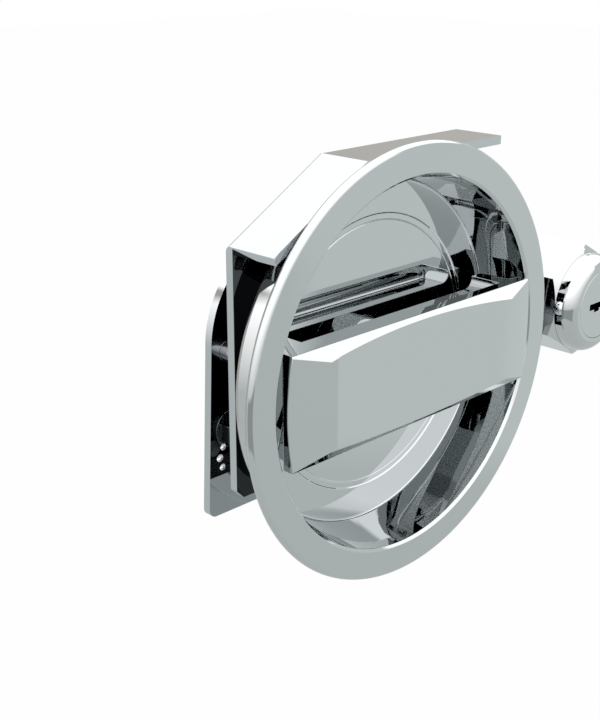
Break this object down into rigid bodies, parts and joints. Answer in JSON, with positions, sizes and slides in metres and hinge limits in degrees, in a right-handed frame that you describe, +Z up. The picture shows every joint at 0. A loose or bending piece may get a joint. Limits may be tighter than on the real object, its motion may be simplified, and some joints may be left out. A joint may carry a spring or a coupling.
{
  "type": "flush cam latch",
  "caption": "Round chromed flush latch: a turning bar grip in a dished ring, a folded bracket, an index disc between two plates, a latching cam, and a hexagonal key lock on a side arm.",
  "frame": {"origin": "centre of the ring's front face, on the spindle's axis", "axes": "+Y runs along the spindle from the front to the back, +Z is up, +X points from the spindle to the key lock"},
  "size_m": [0.1336, 0.0402, 0.1018],
  "materials": {
    "chromed_casting": "polished chrome plate on a zinc casting",
    "chromed_grip": "polished chrome plate on a zinc casting",
    "chromed_sheet": "bright chrome plate on steel sheet",
    "chromed_barrel": "polished chrome plate",
    "chromed_plug": "polished chrome plate",
    "turned_steel": "turned steel, lightly oiled",
    "dark_steel": "blackened steel",
    "plated_steel": "bright zinc plate",
    "spring_steel": "tempered spring steel",
    "steel_ball": "polished steel",
    "bush_brass": "machined brass",
    "washer_nylon": "moulded nylon"
  },
  "bodies": {
    "frame": {"bezel_cup": "chromed_casting", "mounting_bracket": "chromed_sheet", "back_plate": "chromed_sheet", "spacer_studs": "plated_steel", "back_plate_screws": "plated_steel", "cup_washers": "plated_steel", "cup_nuts": "plated_steel", "spindle_bush": "bush_brass", "friction_washer": "washer_nylon", "stop_pin": "turned_steel", "slide_rivets": "turned_steel", "lock_barrel": "chromed_barrel", "lock_ball": "steel_ball", "lock_clip": "spring_steel"},
    "grip": {"handle": "chromed_grip", "handle_set_screw": "dark_steel", "spindle": "turned_steel", "index_disc": "chromed_sheet", "rear_bush": "bush_brass", "latch_cam": "chromed_sheet", "cam_washer": "plated_steel", "cam_nut": "plated_steel"},
    "plug": {"lock_plug": "chromed_plug", "drive_pin_clip": "spring_steel"},
    "slide": {"lock_slide": "plated_steel"}
  },
  "joints": [
    {"name": "grip_turn", "type": "hinge", "parent": "frame", "child": "grip", "pos_m": [0, 0, 0], "axis": [0, 1, 0], "range_deg": [0, 90]},
    {"name": "key_turn", "type": "hinge", "parent": "frame", "child": "plug", "pos_m": [0.0692, 0, 0.0006], "axis": [0, 1, 0], "range_deg": [0, 90]},
    {"name": "slide_travel", "type": "slide", "parent": "frame", "child": "slide", "axis": [-1, 0, 0], "range_m": [0, 0.00401]}
  ],
  "couplings": [
    {"joint": "slide_travel", "follows": "key_turn", "m_per_rad": 0.0025465}
  ]
}
